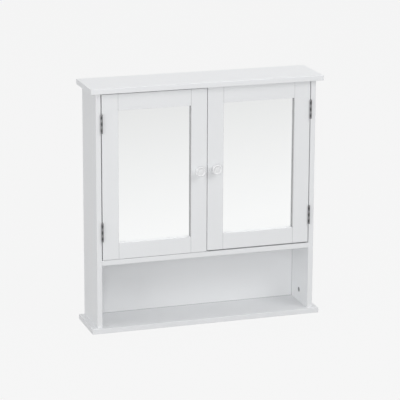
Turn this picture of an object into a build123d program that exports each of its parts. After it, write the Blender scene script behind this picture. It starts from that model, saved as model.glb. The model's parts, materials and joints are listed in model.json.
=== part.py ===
"""Bathroom mirror cabinet: two framed mirror doors over an open compartment.

Millimetres, +Z up. X runs left to right as seen from the front, +Y runs towards the wall.
The origin is on the underside, at mid width and at the middle of the top board's depth.
Every piece of the right half is drawn at +X, and the left half is its mirror image.
"""
import os
from math import atan, cos, degrees, pi, sqrt

from build123d import *

# Carcass
WIDTH = 560.0               # top and bottom boards, left to right
DEPTH = 130.0               # top board, front to wall
HEIGHT = 580.0
BOARD = 12.0                # thickness of every carcass board
SIDE_OVERHANG = 14.0        # top and bottom boards past the side panels
TOP_OVERHANG = 13.5         # top board past the doors
BOTTOM_OVERHANG = 7.0       # bottom board past the doors
OPEN_HEIGHT = 150.0         # open compartment
BOARD_EASE = 1.0            # radius of the sanded board edges

# Back panel and hanging rail
PANEL = 3.0                 # thickness of the back panel
PANEL_SETBACK = 7.0         # from the wall to the back panel
GROOVE_DEPTH = 4.0
GROOVE_PLAY = 0.15          # each side of the panel in its groove
PANEL_END_PLAY = 0.3        # panel edge to the bottom of its groove
RAIL_HEIGHT = 60.0
HANG_SPACING = 400.0        # between the two wall screws
HANG_HOLE_R = 2.75
PANEL_HOLE_PLAY = 0.75      # the panel's holes are larger than the rail's
BACK_GAP = 0.3              # boards stop this short of the back panel

# Adjustable shelf and its pins
PIN_ROW_HEIGHT = 190.0      # shelf underside above the middle shelf, at the middle row
PIN_PITCH = 32.0
PIN_ROWS = 3
PIN_INSET = 20.0            # pin from the shelf's front and rear edges
PIN_R = 2.5
PIN_REACH = 8.0             # peg inside the side panel
PIN_HOLE_SPARE = 0.5        # hole deeper than the peg
PIN_PLATE = 1.6             # thickness of the angle that carries the shelf
PIN_PLATE_WIDTH = 9.0
PIN_PLATE_DROP = 10.0
PIN_PLATE_LENGTH = 10.0
SHELF_SETBACK = 6.0         # shelf behind the doors
SHELF_END_GAP = 1.0
SHELF_REAR_GAP = 2.0

# Cam fittings and dowels
CAM_R = 6.0
CAM_SKIN = 1.8              # board left under the cam bore
CAM_SET = 29.0              # cam centre from the end of its board
CAM_FACE = 1.8              # thickness of the cam's driving face
CAM_WALL = 1.6
CAM_PLAY = 0.1
CAM_MOUTH = 4.8             # slot in the cam's wall that the bolt's neck enters by
CROSS_LENGTH = 7.0          # cross slot in the cam's face
CROSS_WIDTH = 1.2
CROSS_DEPTH = 1.1
BOLT_R = 2.5                # screwed end and head of the bolt
BOLT_NECK_R = 1.6
BOLT_HEAD_LENGTH = 4.0
BOLT_HOLE_R = 3.2           # from the board's end to the cam
BOLT_SKIN = 2.5             # board left under the bolt and the dowels
DOWEL_R = 3.0
DOWEL_REACH = 17.0          # into the end of a board
DOWEL_SPREAD = 36.0         # dowel either side of the cam
RAIL_DOWEL_SPREAD = 18.0
DOWEL_PLAY = 0.05
END_SPARE = 0.5             # hole deeper than its bolt or dowel

# Doors
DOOR = 15.0                 # thickness
FRAME = 38.5                # width of a stile
DOOR_RAIL = 38.0            # height of a door rail
MEETING_GAP = 1.5
DOOR_PLAY = 5.0             # door height less than the compartment's
LEFT_LIFT = 1.0             # gap under the left door
RIGHT_LIFT = 3.0            # gap under the right door, which hangs higher
DOOR_EASE = 0.5
TENON = 6.0                 # thickness
TENON_LENGTH = 18.0
TENON_WALL = 3.0            # from the mirror's rebate, and from the rail's outer edge
TENON_PLAY = 0.1

# Mirrors
GLASS = 4.0
BACKING = 3.0
MIRROR_LAP = 5.0            # mirror behind the frame
BACKING_LAP = 11.0          # backing panel behind the frame
MIRROR_PLAY = 0.5

# Hinges
HINGE_LENGTH = 45.0
HINGE_INSET = 67.0          # hinge centre from the door's top and bottom
KNUCKLES = 3
BARREL_R = 2.4
HINGE_PIN_R = 1.2
HINGE_PIN_PLAY = 0.05
HINGE_PIN_PROUD = 0.6       # pin past each end of the barrel
LEAF = 1.0                  # thickness
LEAF_WIDTH = 13.0           # from the pin's axis
LEAF_GAP = 0.2              # between the two closed leaves
KNUCKLE_GAP = 0.2           # between two knuckles, and barrel to the other leaf
BARREL_CLEAR = 0.25         # barrel to the boards' eased edges
LEAF_SCREW_SPREAD = 27.0

# Screws
SCREW_R = 1.4
SCREW_HEAD_R = 2.4
SCREW_LENGTH = 10.0
SCREW_TIP = 3.0
SCREW_POINT_R = 0.2
SCREW_PLAY = 0.06
HEAD_SEAT = 0.15            # metal left under a countersunk head

# Knobs
KNOB_LENGTH = 17.0
KNOB_R = 12.0
KNOB_NECK_R = 5.5
KNOB_BASE_R = 7.5
KNOB_COVE = 3.0             # base narrows to the neck over this length
KNOB_HEAD = 8.5             # thickness of the head
KNOB_UNDERCUT = 3.5         # the head's back slopes out to its rim
KNOB_LIP = 1.4              # bevel round the face
KNOB_RIM = 0.8              # flat of the face outside the dish
KNOB_DISH_R = 7.0           # floor of the dished face
KNOB_DISH = 1.6
KNOB_BUTTON_R = 5.0         # button in the middle of the dish
KNOB_BUTTON_DROP = 0.6      # button below the rim
KNOB_RISE = 2.0             # above the door's middle
KNOB_SCREW_R = 2.0
KNOB_SCREW_REACH = 9.0      # into the knob
KNOB_SCREW_HEAD_R = 4.0
KNOB_SCREW_HEAD = 2.2
KNOB_SCREW_CROWN = 1.0      # the head is this much narrower at its top
KNOB_SCREW_PLAY = 0.2

# Magnetic catches
CATCH_WIDTH = 22.0
CATCH_DEPTH = 14.0
CATCH_HEIGHT = 18.0
CATCH_SPACE = 3.0           # between the two catches
CATCH_DROP = 12.0           # magnet below the top board
EAR_WIDTH = 8.0
EAR = 2.5
MAGNET_WIDTH = 16.0
MAGNET_HEIGHT = 5.0
MAGNET_DEPTH = 10.0
POLE = 1.2
POLE_PROUD = 0.8
MAGNET_PLAY = 0.1
STRIKE = 1.2
STRIKE_WIDTH = 22.0
STRIKE_HEIGHT = 11.0
CATCH_GAP = 0.1             # pole plates to the closed strike plate

PAST = 1.0                  # a cut starts this far outside its surface
FLAT_COUNT = 6              # sides that small round fasteners and their holes are drawn with
FIT_FLAT_COUNT = 12         # the same for cams, hinge pins and their bores
KNOB_FLAT_COUNT = 24        # the same for the turned knobs

# Places worked out from the sizes
LEFT, RIGHT = -1, 1
WALL_Y = DEPTH / 2
FRONT = TOP_OVERHANG - DEPTH / 2
SIDE_OUT = WIDTH / 2 - SIDE_OVERHANG
SIDE_IN = SIDE_OUT - BOARD
CEILING = HEIGHT - BOARD
SHELF_UNDER = BOARD + OPEN_HEIGHT
SHELF_TOP = SHELF_UNDER + BOARD
PANEL_FRONT = WALL_Y - PANEL_SETBACK - PANEL
INNER_BACK = PANEL_FRONT - BACK_GAP
SIDE_MID_Y = (FRONT + WALL_Y) / 2
SHELF_MID_Y = (FRONT + INNER_BACK) / 2
CAM_DEPTH = BOARD - CAM_SKIN
BITE = BOARD - BOLT_SKIN
RAIL_Z = CEILING - RAIL_HEIGHT / 2

DOOR_REAR = FRONT + DOOR
HINGE_GAP = 2 * LEAF + LEAF_GAP
DOOR_IN = MEETING_GAP / 2
DOOR_OUT = SIDE_IN - HINGE_GAP
DOOR_HEIGHT = CEILING - SHELF_TOP - DOOR_PLAY
OPENING_IN = DOOR_IN + FRAME
OPENING_OUT = DOOR_OUT - FRAME
GLASS_FRONT = DOOR_REAR - BACKING - GLASS
BACKING_FRONT = DOOR_REAR - BACKING
LIFTS = {LEFT: LEFT_LIFT, RIGHT: RIGHT_LIFT}

HINGE_X = SIDE_IN - HINGE_GAP / 2
HINGE_Y = FRONT + DOOR_EASE - sqrt(
    (BARREL_R + DOOR_EASE + BARREL_CLEAR) ** 2 - (HINGE_GAP / 2 + DOOR_EASE) ** 2
)
LEAF_START = HINGE_Y + BARREL_R + KNUCKLE_GAP
LEAF_END = HINGE_Y + LEAF_WIDTH

ADJUSTABLE_FRONT = DOOR_REAR + SHELF_SETBACK
ADJUSTABLE_REAR = PANEL_FRONT - SHELF_REAR_GAP
ADJUSTABLE_UNDER = SHELF_TOP + PIN_ROW_HEIGHT
PIN_COLUMNS = (ADJUSTABLE_FRONT + PIN_INSET, ADJUSTABLE_REAR - PIN_INSET)
PEG_Z = ADJUSTABLE_UNDER - PIN_PLATE_DROP / 2

KNOB_X = DOOR_IN + FRAME / 2
CATCH_X = CATCH_SPACE / 2 + EAR_WIDTH + CATCH_WIDTH / 2
CATCH_FRONT = DOOR_REAR + STRIKE + CATCH_GAP + POLE_PROUD
MAGNET_Z = CEILING - CATCH_DROP

FROM_BASE = (Align.CENTER, Align.CENTER, Align.MIN)


def block(x, y, z):
    """A rectangular block from its low and high limit on each axis."""
    centre = [(low + high) / 2 for low, high in (x, y, z)]
    size = [high - low for low, high in (x, y, z)]
    return Pos(*centre) * Box(*size)


def around(centre, width):
    """Low and high limits of something centred."""
    return centre - width / 2, centre + width / 2


def rod(radius, start, direction, length):
    """A round bar, or the hole for one, from a point along a direction."""
    return Plane(start, z_dir=direction) * Cylinder(radius, length, align=FROM_BASE)


def peg(radius, start, direction, length, end_radius=None, flats=FLAT_COUNT):
    """A small bar or hole drawn with a few flats, which may taper to another radius."""
    end_radius = radius if end_radius is None else end_radius
    wide, narrow = max(radius, end_radius), min(radius, end_radius)
    taper = degrees(atan((wide - narrow) * cos(pi / flats) / length))
    body = extrude(RegularPolygon(wide, flats), length, taper=taper)
    if end_radius > radius:
        body = Pos(0, 0, length) * Rot(X=180) * body
    return Plane(start, z_dir=direction) * body


def to_left(shape):
    return mirror(shape, about=Plane.YZ)


def on_side(side, shape):
    return shape if side == RIGHT else to_left(shape)


def on_both(shape):
    return [shape, to_left(shape)]


# Joinery: a local frame has its origin on the seam between two boards, its +Z into the end of
# the board that holds the cam, its +X out of the face that the cam shows in, and its dowels
# either side along Y.
def side_end_frames():
    """Right side panel on the bottom board and under the top board."""
    x = SIDE_IN + BOARD / 2
    return [
        Plane((x, SIDE_MID_Y, BOARD), x_dir=(-1, 0, 0), z_dir=(0, 0, 1)),
        Plane((x, SIDE_MID_Y, CEILING), x_dir=(-1, 0, 0), z_dir=(0, 0, -1)),
    ]


def shelf_end_frame():
    """Right end of the middle shelf, with its cam in the underside."""
    return Plane((SIDE_IN, SHELF_MID_Y, SHELF_UNDER + BOARD / 2), x_dir=(0, 0, -1), z_dir=(-1, 0, 0))


def rail_end_frame():
    """Right end of the hanging rail."""
    return Plane((SIDE_IN, INNER_BACK - BOARD / 2, RAIL_Z), x_dir=(0, 1, 0), z_dir=(-1, 0, 0))


def cam_frames():
    return side_end_frames() + [shelf_end_frame()]


def dowel_pair(frame, spread, play=0.0, spare=0.0):
    length = BITE + DOWEL_REACH + 2 * spare
    return [
        frame * peg(DOWEL_R + play, (0, y, -BITE - spare), (0, 0, 1), length) for y in (-spread, spread)
    ]


def dowel_holes(frame, spread):
    return dowel_pair(frame, spread, DOWEL_PLAY, END_SPARE)


def cam_bore(play=0.0, spare=0.0):
    """The cam's outer shape, along the local X axis at its place in the board."""
    floor = BOARD / 2 - CAM_DEPTH + spare
    return peg(CAM_R - play, (floor, 0, CAM_SET), (1, 0, 0), CAM_DEPTH - spare, flats=FIT_FLAT_COUNT)


def cam_holes(frame):
    """Everything drilled for one cam, its bolt and its two dowels."""
    bolt_hole = peg(BOLT_HOLE_R, (0, 0, 0), (0, 0, 1), CAM_SET)
    thread_hole = peg(BOLT_R + DOWEL_PLAY, (0, 0, 0), (0, 0, -1), BITE + END_SPARE)
    return [frame * hole for hole in (cam_bore(), bolt_hole, thread_hole)] + dowel_holes(
        frame, DOWEL_SPREAD
    )


def cam_lock(frame):
    """Zinc cam: a cross-slotted face over a cup that takes the bolt's head."""
    body = cam_bore(CAM_PLAY, CAM_PLAY)
    under = BOARD / 2 - CAM_FACE
    cup_r = CAM_R - CAM_PLAY - CAM_WALL
    cup = peg(cup_r, (-BOARD, 0, CAM_SET), (1, 0, 0), BOARD + under, flats=FIT_FLAT_COUNT)
    mouth = block((-BOARD, under), around(0, CAM_MOUTH), (CAM_SET - CAM_R - PAST, CAM_SET))
    face = (BOARD / 2 - CROSS_DEPTH, BOARD / 2 + PAST)
    cross = [
        block(face, around(0, CROSS_LENGTH), around(CAM_SET, CROSS_WIDTH)),
        block(face, around(0, CROSS_WIDTH), around(CAM_SET, CROSS_LENGTH)),
    ]
    return frame * (body - [cup, mouth] - cross)


def cam_bolt(frame):
    """Steel bolt: screwed end in the flat board, thin neck, and the head inside the cam."""
    neck_start = CAM_SET - CAM_R - CAM_WALL
    head_start = CAM_SET - BOLT_HEAD_LENGTH / 2
    shank = peg(BOLT_R, (0, 0, -BITE), (0, 0, 1), BITE + neck_start)
    neck = peg(BOLT_NECK_R, (0, 0, neck_start), (0, 0, 1), head_start - neck_start)
    head = peg(BOLT_R, (0, 0, head_start), (0, 0, 1), BOLT_HEAD_LENGTH)
    return frame * (shank + neck + head)


# Carcass boards
def overhanging_board(front, low, holes):
    """Top or bottom board: eased at the front and at both ends, grooved for the back panel."""
    body = block((-WIDTH / 2, WIDTH / 2), (front, WALL_Y), (low, low + BOARD))
    wall_edges = body.faces().sort_by(Axis.Y)[-1].edges()
    rims = body.faces().filter_by(Axis.Z).edges() - wall_edges
    return fillet(rims, BOARD_EASE) - panel_grooves() - holes


def panel_grooves():
    """The groove that runs round the carcass for the back panel, as one frame-shaped cut."""
    y = (PANEL_FRONT - GROOVE_PLAY, PANEL_FRONT + PANEL + GROOVE_PLAY)
    x = SIDE_IN + GROOVE_DEPTH
    return block((-x, x), y, (BOARD - GROOVE_DEPTH, CEILING + GROOVE_DEPTH))


def top_board():
    frame = side_end_frames()[1]
    holes = [copy for hole in cam_holes(frame) for copy in on_both(hole)]
    screws = [copy for hole in catch_screws(SCREW_PLAY) for copy in on_both(hole)]
    return overhanging_board(-DEPTH / 2, CEILING, holes + screws)


def bottom_board():
    frame = side_end_frames()[0]
    holes = [copy for hole in cam_holes(frame) for copy in on_both(hole)]
    return overhanging_board(FRONT - BOTTOM_OVERHANG, 0, holes)


def front_eased(body):
    """A board with its long front edges sanded."""
    front = body.faces().sort_by(Axis.Y)[0].edges()
    longest = front.sort_by(Edge.length)[-2:]
    return fillet(longest, BOARD_EASE)


def side_panel(side):
    body = front_eased(block((SIDE_IN, SIDE_OUT), (FRONT, WALL_Y), (BOARD, CEILING)))
    holes = [hole for frame in cam_frames() for hole in cam_holes(frame)]
    holes += dowel_holes(rail_end_frame(), RAIL_DOWEL_SPREAD)
    holes += pin_holes()
    holes += [hole for z in hinge_heights(side) for hole in leaf_screws(z, SCREW_PLAY)]
    return on_side(side, body - panel_grooves() - holes)


def middle_shelf():
    body = front_eased(block((-SIDE_IN, SIDE_IN), (FRONT, INNER_BACK), (SHELF_UNDER, SHELF_TOP)))
    return body - [copy for hole in cam_holes(shelf_end_frame()) for copy in on_both(hole)]


def back_panel():
    reach = GROOVE_DEPTH - PANEL_END_PLAY
    x = SIDE_IN + reach
    body = block((-x, x), (PANEL_FRONT, PANEL_FRONT + PANEL), (BOARD - reach, CEILING + reach))
    start = (HANG_SPACING / 2, PANEL_FRONT - PAST, RAIL_Z)
    return body - on_both(peg(HANG_HOLE_R + PANEL_HOLE_PLAY, start, (0, 1, 0), PANEL + 2 * PAST))


def hang_holes():
    start = (HANG_SPACING / 2, INNER_BACK - BOARD - PAST, RAIL_Z)
    return on_both(rod(HANG_HOLE_R, start, (0, 1, 0), BOARD + 2 * PAST))


def hanging_rail():
    body = block((-SIDE_IN, SIDE_IN), (INNER_BACK - BOARD, INNER_BACK), (CEILING - RAIL_HEIGHT, CEILING))
    dowels = [copy for hole in dowel_holes(rail_end_frame(), RAIL_DOWEL_SPREAD) for copy in on_both(hole)]
    return body - hang_holes() - dowels


def adjustable_shelf():
    x = SIDE_IN - SHELF_END_GAP
    return front_eased(
        block((-x, x), (ADJUSTABLE_FRONT, ADJUSTABLE_REAR), (ADJUSTABLE_UNDER, ADJUSTABLE_UNDER + BOARD))
    )


def pin_holes():
    """Three rows of holes for the shelf pins in the right side panel."""
    rows = [PEG_Z + PIN_PITCH * (row - (PIN_ROWS - 1) / 2) for row in range(PIN_ROWS)]
    return [
        peg(PIN_R + DOWEL_PLAY, (SIDE_IN - PAST, y, z), (1, 0, 0), PAST + PIN_REACH + PIN_HOLE_SPARE)
        for y in PIN_COLUMNS
        for z in rows
    ]


def shelf_pin(y):
    """Angle with a peg: the peg goes into the side panel and the shelf lies on the angle."""
    width = around(y, PIN_PLATE_WIDTH)
    ledge = block(
        (SIDE_IN - PIN_PLATE_LENGTH, SIDE_IN), width, (ADJUSTABLE_UNDER - PIN_PLATE, ADJUSTABLE_UNDER)
    )
    web = block((SIDE_IN - PIN_PLATE, SIDE_IN), width, (ADJUSTABLE_UNDER - PIN_PLATE_DROP, ADJUSTABLE_UNDER))
    return ledge + web + peg(PIN_R, (SIDE_IN - PIN_PLATE, y, PEG_Z), (1, 0, 0), PIN_PLATE + PIN_REACH)


# Doors
def door_low(side):
    return SHELF_TOP + LIFTS[side]


def opening(side):
    """Z limits of the mirror opening."""
    return door_low(side) + DOOR_RAIL, door_low(side) + DOOR_HEIGHT - DOOR_RAIL


def sheet(side, lap, play, y):
    """A sheet behind the mirror opening, larger than it by the lap and smaller by the play."""
    grow = lap - play
    low, high = opening(side)
    return block((OPENING_IN - grow, OPENING_OUT + grow), y, (low - grow, high + grow))


def rebates(side):
    """The stepped rebate in the back of the frame: the mirror's, and the wider backing's."""
    return [
        sheet(side, MIRROR_LAP, 0, (GLASS_FRONT, DOOR_REAR + PAST)),
        sheet(side, BACKING_LAP, 0, (BACKING_FRONT, DOOR_REAR + PAST)),
    ]


def frame_piece(x, z):
    """A stile or rail with its front edges eased."""
    body = block(x, (FRONT, DOOR_REAR), z)
    return fillet(body.faces().sort_by(Axis.Y)[0].edges(), DOOR_EASE)


def tenons(side, play=0.0):
    """The tenons at both ends of both door rails, or with play their mortises."""
    low, high = opening(side)
    shoulder = MIRROR_LAP + TENON_WALL
    y = around((FRONT + DOOR_REAR) / 2, TENON + 2 * play)
    reach = TENON_LENGTH + (END_SPARE if play else 0)
    x_ranges = [(OPENING_IN - reach, OPENING_IN + PAST), (OPENING_OUT - PAST, OPENING_OUT + reach)]
    z_ranges = [
        (door_low(side) + TENON_WALL - play, low - shoulder + play),
        (high + shoulder - play, door_low(side) + DOOR_HEIGHT - TENON_WALL + play),
    ]
    return {z: [block(x, y, z) for x in x_ranges] for z in z_ranges}


def stile(side, x, drilled):
    holes = [mortise for pair in tenons(side, TENON_PLAY).values() for mortise in pair]
    body = frame_piece(x, (door_low(side), door_low(side) + DOOR_HEIGHT))
    return on_side(side, body - rebates(side) - holes - drilled)


def hinge_stile(side):
    screws = [hole for z in hinge_heights(side) for hole in leaf_screws(z, SCREW_PLAY)]
    return stile(side, (OPENING_OUT, DOOR_OUT), [door_half(hole) for hole in screws])


def meeting_stile(side):
    knob_hole = knob_screw_bar(side, DOOR_REAR + PAST, DOOR + 2 * PAST, KNOB_SCREW_PLAY)
    return stile(side, (DOOR_IN, OPENING_IN), [knob_hole] + strike_screws(SCREW_PLAY))


def door_rail(side, top):
    low, high = opening(side)
    z = (high, high + DOOR_RAIL) if top else (low - DOOR_RAIL, low)
    body = frame_piece((OPENING_IN, OPENING_OUT), z)
    pair = list(tenons(side).values())[1 if top else 0]
    return on_side(side, body + pair - rebates(side) - strike_screws(SCREW_PLAY))


def mirror_glass(side):
    return on_side(side, sheet(side, MIRROR_LAP, MIRROR_PLAY, (GLASS_FRONT, BACKING_FRONT)))


def backing_panel(side):
    return on_side(side, sheet(side, BACKING_LAP, MIRROR_PLAY, (BACKING_FRONT, DOOR_REAR)))


# Screws
def countersunk(head_depth, play=0.0):
    """A wood screw along +Z with its head's face at zero, or with play its hole."""
    axis = (0, 0, 1)
    head = peg(SCREW_HEAD_R + play, (0, 0, 0), axis, head_depth, SCREW_R + play)
    if play:
        shank = peg(SCREW_R + play, (0, 0, 0), axis, SCREW_LENGTH + END_SPARE)
        return head + shank + peg(SCREW_HEAD_R + play, (0, 0, -PAST), axis, PAST)
    tip_start = SCREW_LENGTH - SCREW_TIP
    shank = peg(SCREW_R, (0, 0, head_depth), axis, tip_start - head_depth)
    return head + shank + peg(SCREW_R, (0, 0, tip_start), axis, SCREW_TIP, SCREW_POINT_R)


def leaf_screws(z, play=0.0):
    """The two screws of a hinge's leaf on the side panel, or with play their holes."""
    y = (LEAF_START + LEAF_END) / 2
    return [
        Plane((SIDE_IN - LEAF, y, height), z_dir=(1, 0, 0)) * countersunk(LEAF - HEAD_SEAT, play)
        for height in around(z, LEAF_SCREW_SPREAD)
    ]


def catch_screws(play=0.0):
    return [
        Plane((x, CATCH_FRONT + CATCH_DEPTH / 2, CEILING - EAR), z_dir=(0, 0, 1))
        * countersunk(SCREW_HEAD_R - SCREW_R, play)
        for x in around(CATCH_X, CATCH_WIDTH + EAR_WIDTH)
    ]


def strike_screws(play=0.0):
    head = Plane((CATCH_X, DOOR_REAR + STRIKE, MAGNET_Z), z_dir=(0, -1, 0))
    return [head * countersunk(STRIKE - HEAD_SEAT, play)]


# Hinges: a leaf is drawn on the side panel, and the door's leaf is it turned over the pin.
def hinge_heights(side):
    low = door_low(side)
    return {"lower": low + HINGE_INSET, "upper": low + DOOR_HEIGHT - HINGE_INSET}.values()


def door_half(shape):
    return mirror(shape, about=Plane((HINGE_X, 0, 0), z_dir=(1, 0, 0)))


def hinge_leaf(z, first):
    """A leaf with every second knuckle, from the first one given, rolled round the pin."""
    low = z - HINGE_LENGTH / 2
    x = (SIDE_IN - LEAF, SIDE_IN)
    pitch = HINGE_LENGTH / KNUCKLES
    body = block(x, (LEAF_START, LEAF_END), (low, low + HINGE_LENGTH))
    for knuckle in range(first, KNUCKLES, 2):
        start = low + knuckle * pitch + KNUCKLE_GAP / 2
        length = pitch - KNUCKLE_GAP
        body += rod(BARREL_R, (HINGE_X, HINGE_Y, start), (0, 0, 1), length)
        body += block(x, (HINGE_Y, LEAF_START + LEAF), (start, start + length))
    return body - pin_bar(z, HINGE_LENGTH + 2 * PAST, HINGE_PIN_PLAY) - leaf_screws(z, SCREW_PLAY)


def pin_bar(z, length, play=0.0):
    """A bar on the hinge's axis, centred at a height: the pin, or with play its bore."""
    start = (HINGE_X, HINGE_Y, z - length / 2)
    return peg(HINGE_PIN_R + play, start, (0, 0, 1), length, flats=FIT_FLAT_COUNT)


def hinge_pin(z):
    return pin_bar(z, HINGE_LENGTH - KNUCKLE_GAP + 2 * HINGE_PIN_PROUD)


# Knobs
def knob_z(side):
    return door_low(side) + DOOR_HEIGHT / 2 + KNOB_RISE


def turned(outline):
    """A turned piece from (radius, height) points up its axis, drawn with flats."""
    return sum(
        (
            peg(low_r, (0, 0, low), (0, 0, 1), high - low, high_r, KNOB_FLAT_COUNT)
            for (low_r, low), (high_r, high) in zip(outline, outline[1:])
        ),
        start=Part(),
    )


def knob(side):
    """Turned knob: a foot, a neck, and a head whose dished face rises to a button in its middle."""
    head = KNOB_LENGTH - KNOB_HEAD
    floor = KNOB_LENGTH - KNOB_DISH
    face_r = KNOB_R - KNOB_LIP
    body = turned(
        [
            (KNOB_BASE_R, 0),
            (KNOB_NECK_R, KNOB_COVE),
            (KNOB_NECK_R, head),
            (KNOB_R, head + KNOB_UNDERCUT),
            (KNOB_R, KNOB_LENGTH - KNOB_LIP),
            (face_r, KNOB_LENGTH),
        ]
    )
    dish = turned([(KNOB_DISH_R, floor), (face_r - KNOB_RIM, KNOB_LENGTH)])
    button = turned([(KNOB_BUTTON_R, floor), (KNOB_BUTTON_R - KNOB_LIP, KNOB_LENGTH - KNOB_BUTTON_DROP)])
    place = Plane((KNOB_X, FRONT, knob_z(side)), z_dir=(0, -1, 0))
    hole = knob_screw_bar(side, FRONT + PAST, PAST + KNOB_SCREW_REACH + END_SPARE, DOWEL_PLAY)
    return on_side(side, place * (body - dish + button) - hole)


def knob_screw_bar(side, y, length, play=0.0):
    """A bar on the knob's axis towards the front: the screw's shank, or with play its hole."""
    return peg(KNOB_SCREW_R + play, (KNOB_X, y, knob_z(side)), (0, -1, 0), length)


def knob_screw(side):
    """Machine screw from the back of the stile, with a pan head."""
    start = (KNOB_X, DOOR_REAR, knob_z(side))
    shank = knob_screw_bar(side, DOOR_REAR, DOOR + KNOB_SCREW_REACH)
    head_r = KNOB_SCREW_HEAD_R
    head = peg(head_r, start, (0, 1, 0), KNOB_SCREW_HEAD, head_r - KNOB_SCREW_CROWN, FIT_FLAT_COUNT)
    return on_side(side, shank + head)


# Magnetic catches
def catch_housing(side):
    y = (CATCH_FRONT, CATCH_FRONT + CATCH_DEPTH)
    body = block(around(CATCH_X, CATCH_WIDTH), y, (CEILING - CATCH_HEIGHT, CEILING))
    ears = block(around(CATCH_X, CATCH_WIDTH + 2 * EAR_WIDTH), y, (CEILING - EAR, CEILING))
    height = MAGNET_HEIGHT + 2 * POLE + 2 * MAGNET_PLAY
    pocket = block(
        around(CATCH_X, MAGNET_WIDTH + 2 * MAGNET_PLAY),
        (CATCH_FRONT - PAST, CATCH_FRONT + MAGNET_DEPTH + MAGNET_PLAY),
        around(MAGNET_Z, height),
    )
    return on_side(side, body + ears - pocket - catch_screws(SCREW_PLAY))


def catch_magnet(side):
    y = (CATCH_FRONT, CATCH_FRONT + MAGNET_DEPTH)
    return on_side(side, block(around(CATCH_X, MAGNET_WIDTH), y, around(MAGNET_Z, MAGNET_HEIGHT)))


def pole_plates():
    """A steel plate over and under the right catch's magnet."""
    y = (CATCH_FRONT - POLE_PROUD, CATCH_FRONT + MAGNET_DEPTH)
    offset = (MAGNET_HEIGHT + POLE) / 2
    return [
        block(around(CATCH_X, MAGNET_WIDTH), y, around(z, POLE)) for z in around(MAGNET_Z, 2 * offset)
    ]


def strike_plate(side):
    body = block(
        around(CATCH_X, STRIKE_WIDTH), (DOOR_REAR, DOOR_REAR + STRIKE), around(MAGNET_Z, STRIKE_HEIGHT)
    )
    return on_side(side, body - strike_screws(SCREW_PLAY))


def group(side, shapes):
    return Compound([solid for shape in shapes for solid in on_side(side, shape).solids()])


def pair_of(shapes):
    return Compound([solid for shape in shapes for copy in on_both(shape) for solid in copy.solids()])


def carcass():
    dowels = [dowel for frame in cam_frames() for dowel in dowel_pair(frame, DOWEL_SPREAD)]
    dowels += dowel_pair(rail_end_frame(), RAIL_DOWEL_SPREAD)
    return {
        "top_board": top_board(),
        "bottom_board": bottom_board(),
        "left_side_panel": side_panel(LEFT),
        "right_side_panel": side_panel(RIGHT),
        "middle_shelf": middle_shelf(),
        "back_panel": back_panel(),
        "hanging_rail": hanging_rail(),
        "adjustable_shelf": adjustable_shelf(),
        "shelf_pins": pair_of([shelf_pin(y) for y in PIN_COLUMNS]),
        "cam_locks": pair_of([cam_lock(frame) for frame in cam_frames()]),
        "cam_bolts": pair_of([cam_bolt(frame) for frame in cam_frames()]),
        "carcass_dowels": pair_of(dowels),
        "catch_pole_plates": pair_of(pole_plates()),
        "catch_screws": pair_of(catch_screws()),
    }


def door(side, name):
    heights = dict(zip(("lower", "upper"), hinge_heights(side)))
    pieces = {
        "hinge_stile": hinge_stile(side),
        "meeting_stile": meeting_stile(side),
        "top_rail": door_rail(side, True),
        "bottom_rail": door_rail(side, False),
        "mirror": mirror_glass(side),
        "backing_panel": backing_panel(side),
        "knob": knob(side),
        "knob_screw": knob_screw(side),
        "strike_plate": strike_plate(side),
        "strike_screw": group(side, strike_screws()),
        "catch_housing": catch_housing(side),
        "catch_magnet": catch_magnet(side),
    }
    for level, z in heights.items():
        pieces[f"{level}_hinge_frame_leaf"] = on_side(side, hinge_leaf(z, 0))
        pieces[f"{level}_hinge_door_leaf"] = on_side(side, door_half(hinge_leaf(z, 1)))
        pieces[f"{level}_hinge_pin"] = on_side(side, hinge_pin(z))
    screws = [screw for z in heights.values() for screw in leaf_screws(z)]
    pieces["hinge_frame_screws"] = group(side, screws)
    pieces["hinge_door_screws"] = group(side, [door_half(screw) for screw in screws])
    return {f"{name}_{piece}": shape for piece, shape in pieces.items()}


os.makedirs("parts", exist_ok=True)
for node, shape in (carcass() | door(LEFT, "left") | door(RIGHT, "right")).items():
    export_step(shape, f"parts/{node}.step")
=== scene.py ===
"""Bathroom mirror cabinet: its finishes, turned knobs, screws and cam locks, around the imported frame.

Metres, +Z up, +Y towards the wall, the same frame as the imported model. Lengths that a maker would give
in millimetres are written as such and times MM.
"""
import json
import math

import bmesh
import bpy
from mathutils import Matrix, Vector


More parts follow.
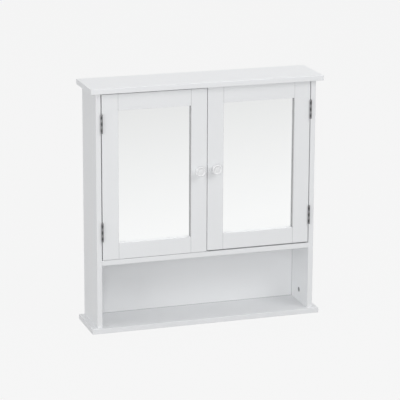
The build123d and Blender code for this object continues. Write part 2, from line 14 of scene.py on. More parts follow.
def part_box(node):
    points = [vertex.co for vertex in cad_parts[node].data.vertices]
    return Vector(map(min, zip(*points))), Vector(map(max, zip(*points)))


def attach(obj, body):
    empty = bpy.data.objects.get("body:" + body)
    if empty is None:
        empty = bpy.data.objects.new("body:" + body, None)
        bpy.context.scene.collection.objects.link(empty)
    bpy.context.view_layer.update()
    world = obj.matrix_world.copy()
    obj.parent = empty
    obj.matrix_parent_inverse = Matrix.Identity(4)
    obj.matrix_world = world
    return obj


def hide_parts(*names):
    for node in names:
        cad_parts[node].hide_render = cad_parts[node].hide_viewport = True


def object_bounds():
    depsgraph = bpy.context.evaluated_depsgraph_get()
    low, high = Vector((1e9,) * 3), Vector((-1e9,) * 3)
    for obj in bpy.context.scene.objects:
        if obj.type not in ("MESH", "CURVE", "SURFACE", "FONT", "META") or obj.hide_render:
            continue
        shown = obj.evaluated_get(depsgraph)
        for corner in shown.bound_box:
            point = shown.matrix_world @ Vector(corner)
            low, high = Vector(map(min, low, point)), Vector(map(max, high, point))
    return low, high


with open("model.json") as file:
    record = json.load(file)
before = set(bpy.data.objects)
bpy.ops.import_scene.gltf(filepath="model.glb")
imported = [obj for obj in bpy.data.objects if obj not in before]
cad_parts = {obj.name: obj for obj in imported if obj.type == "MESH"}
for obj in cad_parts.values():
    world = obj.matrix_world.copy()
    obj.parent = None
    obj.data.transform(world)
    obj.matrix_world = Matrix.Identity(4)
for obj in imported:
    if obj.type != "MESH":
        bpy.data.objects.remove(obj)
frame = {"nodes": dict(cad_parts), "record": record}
cad_low, cad_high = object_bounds()

MM = 0.001
SHARP = 35                  # degrees between faces from which an edge stays sharp
SAME_POINT = 0.001 * MM     # vertices this close are one
SEAM = 0.002 * MM           # the same for the vertices that a cut leaves side by side
TURN_SEED = 7               # for the turns of the screws
NODES = frame["nodes"]
SLOTS = {part["node"]: part["material_slot"] for part in frame["record"]["subparts"]}
SIDES = ("left", "right")
LEVELS = ("lower", "upper")

# Sides of the right mirror's opening, the one near the middle first
OPENING_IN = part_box("right_meeting_stile")[1].x
OPENING_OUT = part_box("right_hinge_stile")[0].x

# Camera, as fitted to the photograph
PHOTO_SIDE = 400
SENSOR = 36.0
FOCAL_PIXELS = 2063.0
CAMERA_PLACE = Vector((-1.4595, -4.4445, 1.5372))
CAMERA_YAW = math.radians(18.173)
CAMERA_PITCH = math.radians(-14.973)
CAMERA_ROLL = math.radians(0.224)

# Light
BACKGROUND = (0.95, 0.95, 0.95)     # what the camera and the mirrors see beyond the cabinet
AMBIENT = (0.424, 0.427, 0.433)     # light from all round
LIGHT_TARGET = Vector((0, 0, 0.3))
LIGHT_DISTANCE = 3.2
LIGHT_SIZE = 1.4
LIGHTS = {                  # azimuth from the front and elevation in degrees, watts
    "left_light": (-65, 8, 19.4),
    "front_light": (-15, 8, 22.4),
    "key_light": (40, 38, 24.0),
}
TOP_LIGHT_PLACE = (0, 0.3, 3.4)
TOP_LIGHT_SIZE = 2.4
TOP_LIGHT_WATTS = 27.5
FLOOR_HALF = 14.0
FLOOR_GLOW = 0.94           # share of the floor that the camera sees as plain background
FADE_START = 0.75           # in front of the cabinet, where the floor's painted reflection starts to fade
FADE_LENGTH = 1.6
FADE_SLANT = 0.35           # how much later it fades on the right, for each metre

# Knob, from the door outwards
KNOB_NECK_R = 5.5 * MM
KNOB_FOOT_EDGE = 0.8 * MM
KNOB_COVE = 2.0 * MM        # radius of the hollow between foot and neck
KNOB_HEAD = 8.5 * MM        # from the face to the back of the head
KNOB_THROAT = 2.5 * MM      # radius of the hollow between neck and head
KNOB_THROAT_BACK = 0.9 * MM  # from the back of the head to that hollow's middle
KNOB_RIM_BACK = 2.6 * MM    # radii of the rim's rounding, towards the door and away from it
KNOB_RIM_FACE = 2.2 * MM
KNOB_RIM_DEPTH = 2.7 * MM   # from the face to the rim's widest line
KNOB_DISH_R = 7.0 * MM
KNOB_DISH = 1.6 * MM
KNOB_BUTTON_R = 5.0 * MM
KNOB_BUTTON = 1.0 * MM      # height of the button above the dish
KNOB_BUTTON_EDGE = 0.7 * MM
KNOB_CROWN = 0.12 * MM      # rise of the button towards its middle
KNOB_STEPS = 64

# Joint grooves of the door frames: sunk in relief and darkened with painted shade
JOINT_LINE = 0.6 * MM       # half width of the line where stile and rail meet
JOINT_SINK = 4              # its depth, in heights of the lacquer's peel
PANEL_LINE = 1.3 * MM       # shadow where the back panel enters the boards round it
MIRROR_EDGE_SHADE = 1.6 * MM      # painted shade along the sides of a mirror's opening
KNUCKLES = 3
HIGHLIGHT_RISE = 2.6              # painted highlight, by the distance from a knuckle's middle in knuckle lengths
HIGHLIGHT_START = 0.2

# Screws: how their forms follow from their sizes
SCREW_SIDES = 32
SCREW_OVERLAP = 0.05 * MM   # of the point with the shank
SHANK_START = 0.5           # share of the head's depth
POINT_WIDE = 0.98           # shares of the shank's radius
POINT_NARROW = 0.12
RECESS_REACH = 1.25         # length of a recess, in face radii
RECESS_DEPTH = 0.6          # share of the head's depth
WOOD_SCREW = {
    "Face Radius": 2.4 * MM,
    "Neck Radius": 1.3 * MM,
    "Head Depth": 0.85 * MM,
    "Shank Radius": 1.4 * MM,
    "Length": 10 * MM,
    "Tip": 3 * MM,
    "Recess Width": 0.6 * MM,
}
CATCH_SCREW = WOOD_SCREW | {"Head Depth": 1.0 * MM}
STRIKE_SCREW = WOOD_SCREW | {"Head Depth": 1.05 * MM}
KNOB_SCREW = {
    "Face Radius": 3.0 * MM,
    "Neck Radius": 4.0 * MM,
    "Head Depth": 2.2 * MM,
    "Shank Radius": 2.0 * MM,
    "Length": 26.2 * MM,
    "Tip": 1 * MM,
    "Recess Width": 0.9 * MM,
}

# Cam locks
CAM_SIDES = 48
CAM_WALL = 1.6 * MM
CAM_FACE = 1.8 * MM
CAM_MOUTH = 4.8 * MM
CROSS_LENGTH = 7.0 * MM
CROSS_WIDTH = 1.2 * MM
CROSS_DEPTH = 1.1 * MM

# Sockets of a Mix node that mixes colours
MIX_FACTOR, MIX_FIRST, MIX_SECOND, MIX_RESULT = 0, 6, 7, 2


class Link:
    """A shader socket whose sums are made as Math nodes."""

    def __init__(self, finish, socket):
        self.finish = finish
        self.socket = socket

    def math(self, operation, *values, clamp=False):
        settings = {"operation": operation, "use_clamp": clamp}
        return self.finish.node("ShaderNodeMath", settings, dict(enumerate(values)))["Value"]

    def __add__(self, other):
        return self.math("ADD", self, other)

    def __sub__(self, other):
        return self.math("SUBTRACT", self, other)

    def __rsub__(self, other):
        return self.math("SUBTRACT", other, self)

    def __mul__(self, other):
        return self.math("MULTIPLY", self, other)

    def __truediv__(self, other):
        return self.math("DIVIDE", self, other)

    __radd__ = __add__
    __rmul__ = __mul__

    def __abs__(self):
        return self.math("ABSOLUTE", self)

    def fraction(self):
        return self.math("FRACT", self)

    def clamped(self):
        """The same value, held between 0 and 1."""
        return self.math("ADD", self, 0.0, clamp=True)


class Outputs:
    """A node's outputs, by name or number."""

    def __init__(self, finish, node):
        self.finish = finish
        self.node = node

    def __getitem__(self, name):
        return Link(self.finish, self.node.outputs[name])


class Tree:
    """One node tree under construction."""

    def node(self, kind, settings=None, inputs=None):
        """Adds a node: its settings first, then the values or links of its sockets."""
        node = self.tree.nodes.new(kind)
        for name, value in (settings or {}).items():
            if name == "stops":
                set_stops(node.color_ramp, value)
            else:
                setattr(node, name, value)
        for name, value in (inputs or {}).items():
            for item in value if isinstance(value, list) else [value]:
                if isinstance(item, Link):
                    self.tree.links.new(item.socket, node.inputs[name])
                else:
                    node.inputs[name].default_value = item
        return Outputs(self, node)


class Finish(Tree):
    """A material's tree, or the world's."""

    def __init__(self, owner):
        owner.use_nodes = True
        self.owner = owner
        self.tree = owner.node_tree
        self.tree.nodes.clear()

    def place(self):
        return self.node("ShaderNodeTexCoord")["Object"]

    def along(self, axis):
        """One object coordinate, in metres."""
        return self.node("ShaderNodeSeparateXYZ", None, {"Vector": self.place()})[axis]

    def noise(self, size, detail, stretch=None, roughness=0.5):
        """Noise whose lumps are about this size, from 0 to 1."""
        where = self.place()
        if stretch:
            where = self.node("ShaderNodeMapping", None, {"Vector": where, "Scale": stretch})["Vector"]
        values = {"Vector": where, "Scale": 1 / size, "Detail": detail, "Roughness": roughness}
        return self.node("ShaderNodeTexNoise", None, values)["Fac"]

    def blend(self, factor, first, second):
        """A colour between two, by a factor from 0 to 1."""
        values = {MIX_FACTOR: factor, MIX_FIRST: solid_colour(first), MIX_SECOND: solid_colour(second)}
        return self.node("ShaderNodeMix", {"data_type": "RGBA"}, values)[MIX_RESULT]

    def bump(self, height, depth):
        """Relief whose height input of 1 stands this far above 0."""
        values = {"Strength": 1.0, "Distance": depth, "Height": height}
        return self.node("ShaderNodeBump", None, values)["Normal"]

    def surface(self, **sockets):
        """A principled surface as the material's output. Sockets are written with underscores."""
        values = {name.replace("_", " "): solid_colour(value) for name, value in sockets.items()}
        shader = self.node("ShaderNodeBsdfPrincipled", None, values)["BSDF"]
        self.node("ShaderNodeOutputMaterial", None, {"Surface": shader})
        return self.owner


class Pattern(Tree):
    """A Geometry Nodes tree that puts copies of one shape on points, with named inputs for its sizes.

    Each point has an axis, which the shape's +Z follows, and a side, which its +X faces.
    """

    def __init__(self, name, sizes):
        self.tree = bpy.data.node_groups.new(name, "GeometryNodeTree")
        interface = self.tree.interface
        interface.new_socket("Points", in_out="INPUT", socket_type="NodeSocketGeometry")
        for size in sizes:
            interface.new_socket(size, in_out="INPUT", socket_type="NodeSocketFloat")
        interface.new_socket("Turn Seed", in_out="INPUT", socket_type="NodeSocketInt")
        interface.new_socket("Most Turn", in_out="INPUT", socket_type="NodeSocketFloat")
        interface.new_socket("Finish", in_out="INPUT", socket_type="NodeSocketMaterial")
        interface.new_socket("Copies", in_out="OUTPUT", socket_type="NodeSocketGeometry")
        self.given = self.node("NodeGroupInput")

    def vector(self, x=0.0, y=0.0, z=0.0):
        return self.node("ShaderNodeCombineXYZ", None, {"X": x, "Y": y, "Z": z})["Vector"]

    def moved(self, shape, x=0.0, z=0.0):
        values = {"Geometry": shape, "Translation": self.vector(x=x, z=z)}
        return self.node("GeometryNodeTransform", None, values)["Geometry"]

    def cone(self, start_radius, end_radius, start, length, sides=SCREW_SIDES):
        """A round bar along +Z from a height, which may taper."""
        values = {
            "Vertices": sides, "Radius Bottom": start_radius, "Radius Top": end_radius, "Depth": length
        }
        return self.moved(self.node("GeometryNodeMeshCone", None, values)["Mesh"], z=start)

    def bar(self, x, y, z):
        """A block centred on the origin."""
        return self.node("GeometryNodeMeshCube", None, {"Size": self.vector(x, y, z)})["Mesh"]

    def union(self, *shapes):
        settings = {"operation": "UNION", "solver": "EXACT"}
        return self.node("GeometryNodeMeshBoolean", settings, {"Mesh 2": list(shapes)})["Mesh"]

    def less(self, shape, *cuts):
        settings = {"operation": "DIFFERENCE", "solver": "EXACT"}
        values = {"Mesh 1": shape, "Mesh 2": list(cuts)}
        return self.node("GeometryNodeMeshBoolean", settings, values)["Mesh"]

    def cross(self, length, width, depth):
        """A cross-shaped cutter centred on the face of a head."""
        return self.union(self.bar(length, width, depth * 2), self.bar(width, length, depth * 2))

    def attribute(self, name):
        settings = {"data_type": "FLOAT_VECTOR"}
        return self.node("GeometryNodeInputNamedAttribute", settings, {"Name": name})["Attribute"]

    def on_points(self, shape):
        """Ends the tree: copies on the points, made real, in the finish given."""
        align = "FunctionNodeAlignRotationToVector"
        along = self.node(align, {"axis": "Z"}, {"Vector": self.attribute("axis")})["Rotation"]
        values = {"Rotation": along, "Vector": self.attribute("side")}
        facing = self.node(align, {"axis": "X", "pivot_axis": "Z"}, values)["Rotation"]
        values = {"Max": self.given["Most Turn"], "Seed": self.given["Turn Seed"]}
        turn = self.node("FunctionNodeRandomValue", {"data_type": "FLOAT"}, values)["Value"]
        values = {"Axis": (0, 0, 1), "Angle": turn}
        spin = self.node("FunctionNodeAxisAngleToRotation", None, values)["Rotation"]
        values = {"Rotation": facing, "Rotate By": spin}
        turned = self.node("FunctionNodeRotateRotation", {"rotation_space": "LOCAL"}, values)["Rotation"]
        values = {"Points": self.given["Points"], "Instance": shape, "Rotation": turned}
        copies = self.node("GeometryNodeInstanceOnPoints", None, values)["Instances"]
        real = self.node("GeometryNodeRealizeInstances", None, {"Geometry": copies})["Geometry"]
        values = {"Geometry": real, "Material": self.given["Finish"]}
        dressed = self.node("GeometryNodeSetMaterial", None, values)["Geometry"]
        self.node("NodeGroupOutput", None, {"Copies": dressed})
        return self.tree


def set_stops(ramp, stops):
    while len(ramp.elements) < len(stops):
        ramp.elements.new(1.0)
    for element, (place, level) in zip(ramp.elements, stops):
        element.position = place
        element.color = (level, level, level, 1)


def solid_colour(value):
    """A colour of three numbers gets its alpha; anything else stays as it is."""
    if isinstance(value, tuple) and len(value) == 3:
        return (*value, 1.0)
    return value


def new_finish(name):
    return Finish(bpy.data.materials.new(name))


# Finishes
def near(distance, width):
    """One on a line, falling to zero at this distance from it."""
    return 1 - (abs(distance) / width).clamped()


def white_paint():
    """Satin lacquer sprayed on smooth board: a faint orange peel and cloudiness."""
    return lacquer(new_finish("white_paint"), 0.0)


def door_paint():
    """The same lacquer on the door frames, sunk a little along the joints of stile and rail, with painted
    shade darkening those grooves.
    """
    finish = new_finish("door_paint")
    across = abs(finish.along("X"))
    # Painted shade: the joint lines of stile and rail darken as well as sink.
    joint_groove_shade = sum(near(across - edge, JOINT_LINE) for edge in (OPENING_IN, OPENING_OUT))
    return lacquer(finish, joint_groove_shade)


def lacquer(finish, joint_groove_shade):
    """White satin lacquer, sunk along the joint grooves given, and darkened there as painted shade."""
    cloud = finish.noise(90 * MM, 3)
    peel = finish.noise(1.6 * MM, 2)
    fibre = finish.noise(0.35 * MM, 1)
    colour = finish.blend(cloud, (0.845, 0.855, 0.865), (0.870, 0.878, 0.886))
    return finish.surface(
        # Painted shade: the colour darkens to grey in the joints' grooves.
        Base_Color=finish.blend(joint_groove_shade, colour, (0.50, 0.50, 0.51)),
        Roughness=0.36 + cloud * 0.06 + fibre * 0.04,
        Normal=finish.bump(peel * 0.8 + fibre * 0.2 - joint_groove_shade * JOINT_SINK, 0.02 * MM),
    )


def painted_hardboard():
    """Thin hardboard: white in front, shadowed where it enters the boards, and raw fibre behind."""
    finish = new_finish("painted_hardboard")
    low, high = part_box("back_panel")
    depth = high.y - low.y
    back = ((finish.along("Y") - (low.y + depth / 2)) / (depth / 4)).clamped()
    fibres = finish.noise(0.9 * MM, 4, (1.0, 1.0, 0.35), 0.65)
    ripple = finish.noise(2.2 * MM, 1)
    raw = finish.blend(fibres, (0.24, 0.155, 0.095), (0.42, 0.295, 0.195))
    paint = finish.blend(finish.noise(120 * MM, 2), (0.840, 0.848, 0.857), (0.862, 0.870, 0.878))
    from_side = abs(finish.along("X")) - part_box("right_side_panel")[0].x
    from_floor = finish.along("Z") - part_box("bottom_board")[1].z
    entered = (near(from_side, PANEL_LINE) + near(from_floor, PANEL_LINE)).clamped()
    paint = finish.blend(entered, paint, (0.34, 0.34, 0.35))
    return finish.surface(
        Base_Color=finish.blend(back, paint, raw),
        Roughness=0.45 + back * 0.35,
        Normal=finish.bump(fibres * (0.15 + back * 0.85) + ripple * 0.3, 0.05 * MM),
    )


def mirror_glass():
    """Silvered float glass, faintly green, with painted shade along the opening's sides."""
    finish = new_finish("mirror_glass")
    haze = finish.noise(60 * MM, 2)
    across = abs(finish.along("X"))
    # Painted shade: the shaded side walls of the rebate and their reflection, darkened into the glass.
    edge = sum(near(across - side, MIRROR_EDGE_SHADE) for side in (OPENING_IN, OPENING_OUT)).clamped()
    silver = finish.blend(haze, (0.975, 0.985, 0.982), (0.985, 0.992, 0.990))
    return finish.surface(
        Base_Color=finish.blend(edge, silver, (0.16, 0.17, 0.17)),
        Metallic=1.0,
        Roughness=0.004,
    )


def knob_lacquer():
    """Turned wood under thick satin lacquer, a little glossier than the boards."""
    finish = new_finish("knob_lacquer")
    peel = finish.noise(1.1 * MM, 2)
    cloud = finish.noise(9 * MM, 2)
    return finish.surface(
        Base_Color=finish.blend(cloud, (0.845, 0.850, 0.856), (0.872, 0.877, 0.882)),
        Roughness=0.26 + cloud * 0.06,
        Normal=finish.bump(peel, 0.012 * MM),
    )


def plated(name, dark, light, roughness, grain):
    """Plated steel: cloudy plating, and fine scratches drawn along Z."""
    finish = new_finish(name)
    cloud = finish.noise(5 * MM, 3)
    drawn = finish.noise(grain, 2, (1.0, 1.0, 0.12))
    return finish.surface(
        Base_Color=finish.blend(cloud, dark, light),
        Metallic=1.0,
        Roughness=roughness + cloud * 0.1 + drawn * 0.08,
        Normal=finish.bump(drawn, 0.006 * MM),
    )


def hinge_steel():
    return plated("hinge_steel", (0.13, 0.13, 0.135), (0.21, 0.21, 0.215), 0.28, 0.3 * MM)


def hinge_barrel(hinge):
    """The hinge's dark steel, with painted highlights brighter towards the ends of each knuckle."""
    low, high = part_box(f"{hinge}_hinge_frame_leaf")
    finish = new_finish(f"{hinge}_hinge_steel")
    pitch = (high.z - low.z) / KNUCKLES
    from_middle = abs(((finish.along("Z") - low.z) / pitch).fraction() - 0.5)
    # Painted highlight: bands brighter towards each knuckle's ends, over the dark plating.
    knuckle_highlight = (from_middle * HIGHLIGHT_RISE - HIGHLIGHT_START).clamped()
    cloud = finish.noise(2.5 * MM, 3)
    dark = finish.blend(cloud, (0.05, 0.05, 0.052), (0.10, 0.10, 0.104))
    return finish.surface(
        Base_Color=finish.blend(knuckle_highlight, dark, (0.25, 0.25, 0.255)),
        Metallic=1.0,
        Roughness=0.26 + cloud * 0.14,
        Normal=finish.bump(cloud, 0.01 * MM),
    )


def zinc_plated_steel():
    return plated("zinc_plated_steel", (0.54, 0.55, 0.56), (0.68, 0.68, 0.67), 0.24, 0.4 * MM)


def zinc():
    """Die-cast zinc, dull and slightly pitted."""
    finish = new_finish("zinc")
    pits = finish.noise(0.5 * MM, 4, None, 0.7)
    cloud = finish.noise(4 * MM, 2)
    return finish.surface(
        Base_Color=finish.blend(cloud, (0.30, 0.305, 0.31), (0.42, 0.425, 0.43)),
        Metallic=1.0,
        Roughness=0.42 + pits * 0.18,
        Normal=finish.bump(pits, 0.03 * MM),
    )


def beech():
    """Bare beech with its grain and short dark flecks along the dowel."""
    finish = new_finish("beech")
    grain = finish.noise(1.2 * MM, 4, (1.0, 1.0, 0.15), 0.6)
    flecks = finish.node("ShaderNodeValToRGB", {"stops": [(0.62, 0.0), (0.72, 1.0)]}, {"Fac": grain})
    wood = finish.blend(grain, (0.52, 0.34, 0.19), (0.66, 0.46, 0.29))
    return finish.surface(
        Base_Color=finish.blend(flecks["Color"], wood, (0.36, 0.20, 0.10)),
        Roughness=0.55 + grain * 0.15,
        Normal=finish.bump(grain, 0.04 * MM),
    )


def white_plastic():
    """Moulded nylon with a spark-eroded surface."""
    finish = new_finish("white_plastic")
    spark = finish.noise(0.25 * MM, 2)
    cloud = finish.noise(8 * MM, 2)
    return finish.surface(
        Base_Color=finish.blend(cloud, (0.74, 0.745, 0.74), (0.79, 0.79, 0.785)),
        Roughness=0.42 + spark * 0.14,
        Normal=finish.bump(spark, 0.02 * MM),
    )


def ferrite():
    """Sintered ferrite, dark and grainy."""
    finish = new_finish("ferrite")
    grain = finish.noise(0.4 * MM, 4, None, 0.7)
    return finish.surface(
        Base_Color=finish.blend(grain, (0.018, 0.018, 0.019), (0.045, 0.045, 0.047)),
        Roughness=0.5 + grain * 0.25,
        Normal=finish.bump(grain, 0.04 * MM),
    )


FINISHES = {
    maker.__name__: maker()
    for maker in (
        white_paint, painted_hardboard, mirror_glass, knob_lacquer, hinge_steel,
        zinc_plated_steel, zinc, beech, white_plastic, ferrite,
    )
}


def dress_frame():
    """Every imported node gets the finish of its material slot."""
    door_frames = door_paint()
    hinges = [f"{side}_{level}" for side in SIDES for level in LEVELS]
    barrels = {hinge: hinge_barrel(hinge) for hinge in hinges}
    for node, body in NODES.items():
        finish = FINISHES[SLOTS[node]]
        if node.endswith(("stile", "_rail")) and node.startswith(SIDES):
            finish = door_frames
        hinge = node.partition("_hinge")[0]
        if hinge in barrels:
            finish = barrels[hinge]
        body.data.materials.clear()
        body.data.materials.append(finish)


# Mesh helpers
def mesh_object(name, builder, smooth=True):
    """A new object from a bmesh, with its faces outwards."""
    bmesh.ops.remove_doubles(builder, verts=builder.verts, dist=SAME_POINT)
    bmesh.ops.recalc_face_normals(builder, faces=builder.faces)
    data = bpy.data.meshes.new(name)
    builder.to_mesh(data)
    builder.free()
    if smooth:
        data.shade_smooth()
        data.set_sharp_from_angle(angle=math.radians(SHARP))
    made = bpy.data.objects.new(name, data)
    bpy.context.scene.collection.objects.link(made)
    return made


def lathe(builder, outline, steps):
    """Turns an outline of (radius, height) points round +Z."""
    points = [builder.verts.new((radius, 0, height)) for radius, height in outline]
    edges = [builder.edges.new(pair) for pair in zip(points, points[1:])]
    bmesh.ops.spin(
        builder, geom=points + edges, cent=(0, 0, 0), axis=(0, 0, 1), angle=2 * math.pi, steps=steps
    )


def arc(centre, radius, start, end, steps):
    """Points on an arc of an outline, by angles in degrees from the outline's radius axis."""
    angles = [math.radians(start + (end - start) * step / steps) for step in range(steps + 1)]
    return [(centre[0] + radius * math.cos(a), centre[1] + radius * math.sin(a)) for a in angles]


def evaluated_mesh(source):
    bpy.context.view_layer.update()
    graph = bpy.context.evaluated_depsgraph_get()
    return bpy.data.meshes.new_from_object(source.evaluated_get(graph))


def close_seams(data):
    """Merges the points that a cut left side by side, and drops the slivers between them."""
    builder = bmesh.new()
    builder.from_mesh(data)
    bmesh.ops.remove_doubles(builder, verts=builder.verts, dist=SEAM)
    bmesh.ops.dissolve_degenerate(builder, edges=builder.edges, dist=SEAM / 2)
    bmesh.ops.triangulate(builder, faces=builder.faces)
    builder.to_mesh(data)
    builder.free()


def separate_solids(node):
    """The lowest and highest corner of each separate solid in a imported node, in the same order each run."""
    builder = bmesh.new()
    builder.from_mesh(NODES[node].data)
    bmesh.ops.remove_doubles(builder, verts=builder.verts, dist=SAME_POINT)
    unseen = dict.fromkeys(builder.verts)
    boxes = []
    while unseen:
        front = [unseen.popitem()[0]]
        island = []
        while front:
            vert = front.pop()
            island.append(vert.co.copy())
            for edge in vert.link_edges:
                other = edge.other_vert(vert)
                if other in unseen:
                    del unseen[other]
                    front.append(other)
        low = Vector(map(min, zip(*island)))
        high = Vector(map(max, zip(*island)))
        boxes.append((low, high))
    builder.free()
    return boxes


def copies(name, pattern, points, node, body, sizes, most_turn=0.0):
    """A pattern's copies on (place, axis, side) points, as a piece that stands for a node."""
    data = bpy.data.meshes.new(name)
    data.from_pydata([place for place, _, _ in points], [], [])
    for label, column in (("axis", 1), ("side", 2)):
        layer = data.attributes.new(label, "FLOAT_VECTOR", "POINT")
        for item, point in zip(layer.data, points):
            item.vector = point[column]
    piece = bpy.data.objects.new(name, data)
    bpy.context.scene.collection.objects.link(piece)
    modifier = piece.modifiers.new("copies", "NODES")
    modifier.node_group = pattern
    values = sizes | {"Turn Seed": TURN_SEED, "Most Turn": most_turn, "Finish": FINISHES[SLOTS[node]]}
    for item in pattern.interface.items_tree:
        if item.in_out == "INPUT" and item.name in values:
            modifier[item.identifier] = values[item.name]
    made = evaluated_mesh(piece)
    piece.modifiers.clear()
    piece.data = made
    close_seams(made)
    made.shade_smooth()
    made.set_sharp_from_angle(angle=math.radians(SHARP))
    finish_piece(piece, node, body)


def finish_piece(piece, node, body):
    """Gives a piece its node's finish, body and slot, and lets it stand for the node."""
    piece.data.materials.clear()
    piece.data.materials.append(FINISHES[SLOTS[node]])
    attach(piece, body)
    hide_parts(node)


# Knobs
def knob_outline(radius, length):
    """Foot, coved neck, undercut head with a rounded rim, and a dished face round a low button."""
    foot_r = KNOB_NECK_R + KNOB_COVE
    head = length - KNOB_HEAD
    floor = length - KNOB_DISH
    edge = KNOB_FOOT_EDGE / 2
    outline = [(0, 0), (foot_r, 0)]
    outline += arc((foot_r - edge, edge), edge, -80, 80, 6)
    outline += arc((foot_r, KNOB_FOOT_EDGE + KNOB_COVE), KNOB_COVE, 265, 180, 10)
    outline += arc((KNOB_NECK_R + KNOB_THROAT, head - KNOB_THROAT_BACK), KNOB_THROAT, 180, 112, 8)
    outline += arc((radius - KNOB_RIM_BACK, length - KNOB_RIM_DEPTH), KNOB_RIM_BACK, -62, 0, 8)
    outline += arc((radius - KNOB_RIM_FACE, length - KNOB_RIM_FACE), KNOB_RIM_FACE, 0, 95, 10)
    outline += arc((KNOB_DISH_R, floor + KNOB_DISH), KNOB_DISH, 335, 270, 6)
    top = floor + KNOB_BUTTON
    outline += arc((KNOB_BUTTON_R - KNOB_BUTTON_EDGE, top - KNOB_BUTTON_EDGE), KNOB_BUTTON_EDGE, 0, 80, 6)
    outline += [(KNOB_BUTTON_R / 2, top), (0, top + KNOB_CROWN)]
    return outline


def knob(side):
    node = f"{side}_knob"
    low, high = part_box(node)
    radius = (high.x - low.x) / 2
    builder = bmesh.new()
    lathe(builder, knob_outline(radius, high.y - low.y), KNOB_STEPS)
    centre = Vector(((low.x + high.x) / 2, high.y, (low.z + high.z) / 2))
    towards_front = Matrix.Rotation(math.radians(90), 4, "X")
    bmesh.ops.transform(builder, matrix=Matrix.Translation(centre) @ towards_front, verts=builder.verts)
    piece = mesh_object(f"{side}_turned_knob", builder)
    finish_piece(piece, node, f"{side}_door")


# Screws and cam locks
def screw_pattern():
    """A cross-recessed screw pointing along +Z with its head's face at zero."""
    pattern = Pattern("screws", WOOD_SCREW)
    face_r, neck_r, depth, shank_r, length, tip, recess = (pattern.given[size] for size in WOOD_SCREW)
    head = pattern.cone(face_r, neck_r, 0.0, depth)
    start = depth * SHANK_START
    shank = pattern.cone(shank_r, shank_r, start, length - tip - start)
    wide, narrow = shank_r * POINT_WIDE, shank_r * POINT_NARROW
    point = pattern.cone(wide, narrow, length - tip - SCREW_OVERLAP, tip + SCREW_OVERLAP)
    cutter = pattern.cross(face_r * RECESS_REACH, recess, depth * RECESS_DEPTH)
    return pattern.on_points(pattern.less(pattern.union(head, shank, point), cutter))


def cam_pattern():
    """A cross-slotted face over a cup, whose mouth opens along +X to the bolt."""
    pattern = Pattern("cam_locks", ("Radius", "Depth"))
    radius, depth = pattern.given["Radius"], pattern.given["Depth"]
    body = pattern.cone(radius, radius, 0.0, depth, CAM_SIDES)
    cup = pattern.cone(radius - CAM_WALL, radius - CAM_WALL, CAM_FACE, depth, CAM_SIDES)
    mouth = pattern.moved(pattern.bar(radius * 2, CAM_MOUTH, depth), radius, depth / 2 + CAM_FACE)
    slots = pattern.cross(CROSS_LENGTH, CROSS_WIDTH, CROSS_DEPTH)
    return pattern.on_points(pattern.less(body, pattern.union(cup, mouth), slots))


def half_length(size, axis):
    """Half of a box's size along one of the frame's axes."""
    return Vector([abs(value) for value in axis]).dot(size) / 2


def screw_points(node, axis):
    """The middle of each screw's head face, with the screw's direction."""
    points = []
    for low, high in separate_solids(node):
        face = (low + high) / 2 - axis * half_length(high - low, axis)
        points.append((face, axis, axis.orthogonal()))
    return points


def cam_points():
    """The middle of each cam's face: it looks into the cabinet or down, and its mouth faces its bolt."""
    middle_height = (cad_low.z + cad_high.z) / 2
    points = []
    for low, high in separate_solids("cam_locks"):
        centre = (low + high) / 2
        size = high - low
        outwards = math.copysign(1.0, centre.x)
        if size.x < size.z:
            axis = Vector((outwards, 0, 0))
            side = Vector((0, 0, math.copysign(1.0, centre.z - middle_height)))
        else:
            axis = Vector((0, 0, 1))
            side = Vector((outwards, 0, 0))
        points.append((centre - axis * half_length(size, axis), axis, side))
    return points


def screws():
    pattern = screw_pattern()
    up, forwards = Vector((0, 0, 1)), Vector((0, -1, 0))
    groups = [("catch_screws", "cabinet", up, CATCH_SCREW)]
    for side, outwards in zip(SIDES, (Vector((-1, 0, 0)), Vector((1, 0, 0)))):
        door = f"{side}_door"
        groups += [
            (f"{side}_hinge_frame_screws", "cabinet", outwards, WOOD_SCREW),
            (f"{side}_hinge_door_screws", door, -outwards, WOOD_SCREW),
            (f"{side}_strike_screw", door, forwards, STRIKE_SCREW),
            (f"{side}_knob_screw", door, forwards, KNOB_SCREW),
        ]
    for node, body, axis, sizes in groups:
        points = screw_points(node, axis)
        copies(f"{node}_cross_headed", pattern, points, node, body, sizes, math.pi / 2)


def cam_locks():
    points = cam_points()
    low, high = separate_solids("cam_locks")[0]
    size = sorted(high - low)
    sizes = {"Radius": size[2] / 2, "Depth": size[0]}
    copies("slotted_cam_locks", cam_pattern(), points, "cam_locks", "cabinet", sizes)


# Light, floor and camera
def studio_world():
    """A plain pale surround: the background's white where it is seen or mirrored, ambient elsewhere."""
    world = bpy.data.worlds.new("studio")
    bpy.context.scene.world = world
    finish = Finish(world)
    rays = finish.node("ShaderNodeLightPath")
    seen = (rays["Is Camera Ray"] + rays["Is Glossy Ray"] + rays["Is Transmission Ray"]).clamped()
    colour = finish.blend(seen, AMBIENT, BACKGROUND)
    shader = finish.node("ShaderNodeBackground", None, {"Color": colour, "Strength": 1.0})["Background"]
    finish.node("ShaderNodeOutputWorld", None, {"Surface": shader})


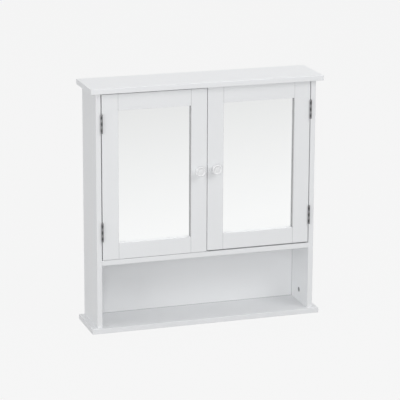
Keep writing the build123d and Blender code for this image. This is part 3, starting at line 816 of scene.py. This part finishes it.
def studio_floor():
    """A plain pale floor that keeps the cabinet's shadow and, seen in the mirrors alone, a painted reflection
    that is palest just in front of them.
    """
    builder = bmesh.new()
    bmesh.ops.create_grid(builder, x_segments=1, y_segments=1, size=FLOOR_HALF)
    floor = mesh_object("studio_floor", builder, smooth=False)
    finish = new_finish("studio_floor")
    rays = finish.node("ShaderNodeLightPath")
    mirrored = (rays["Is Glossy Ray"] + rays["Is Transmission Ray"]).clamped()
    seen = (rays["Is Camera Ray"] + mirrored).clamped()
    # Painted reflection: what the mirrors see of the floor glows, fading from near white to grey away from
    # the cabinet.
    away = finish.along("Y") * -1 - FADE_START - finish.along("X") * FADE_SLANT
    faded = (away / FADE_LENGTH).clamped()
    painted_reflection = finish.blend(faded, (0.985, 0.985, 0.985), (0.80, 0.80, 0.80))
    shown = finish.blend(mirrored, BACKGROUND, painted_reflection)
    glow = finish.node("ShaderNodeEmission", None, {"Color": shown, "Strength": 1.0})["Emission"]
    paint = finish.node("ShaderNodeBsdfDiffuse", None, {"Color": (0.50, 0.50, 0.50, 1)})["BSDF"]
    share = seen * FLOOR_GLOW
    mixed = finish.node("ShaderNodeMixShader", None, {0: share, 1: paint, 2: glow})["Shader"]
    finish.node("ShaderNodeOutputMaterial", None, {"Surface": mixed})
    floor.data.materials.append(finish.owner)


def soft_box(name, place, target, size, power):
    """A square soft light aimed at a point."""
    lamp = bpy.data.lights.new(name, "AREA")
    lamp.shape = "SQUARE"
    lamp.size = size
    lamp.energy = power
    holder = bpy.data.objects.new(name, lamp)
    holder.location = place
    holder.rotation_euler = (Vector(target) - Vector(place)).to_track_quat("-Z", "Y").to_euler()
    bpy.context.scene.collection.objects.link(holder)


def lights():
    for name, (azimuth, elevation, watts) in LIGHTS.items():
        around, up = math.radians(azimuth), math.radians(elevation)
        ahead = Vector((math.sin(around) * math.cos(up), -math.cos(around) * math.cos(up), math.sin(up)))
        soft_box(name, LIGHT_TARGET + ahead * LIGHT_DISTANCE, LIGHT_TARGET, LIGHT_SIZE, watts)
    soft_box("top_light", TOP_LIGHT_PLACE, LIGHT_TARGET, TOP_LIGHT_SIZE, TOP_LIGHT_WATTS)


def camera():
    """The camera at the photograph's place, with its own right, up and viewing directions."""
    level = math.cos(CAMERA_PITCH)
    ahead = Vector((math.sin(CAMERA_YAW) * level, math.cos(CAMERA_YAW) * level, math.sin(CAMERA_PITCH)))
    right = Vector((math.cos(CAMERA_YAW), -math.sin(CAMERA_YAW), 0))
    up = right.cross(ahead)
    rolled_right = right * math.cos(CAMERA_ROLL) + up * math.sin(CAMERA_ROLL)
    rolled_up = up * math.cos(CAMERA_ROLL) - right * math.sin(CAMERA_ROLL)
    data = bpy.data.cameras.new("camera")
    data.sensor_width = SENSOR
    data.lens = FOCAL_PIXELS * SENSOR / PHOTO_SIDE
    holder = bpy.data.objects.new("camera", data)
    turn = Matrix((rolled_right, rolled_up, -ahead)).transposed().to_4x4()
    holder.matrix_world = Matrix.Translation(CAMERA_PLACE) @ turn
    bpy.context.scene.collection.objects.link(holder)
    bpy.context.scene.camera = holder


camera()
studio_world()
studio_floor()
lights()
dress_frame()
for side in SIDES:
    knob(side)
screws()
cam_locks()

bpy.context.scene.view_settings.view_transform = "Standard"
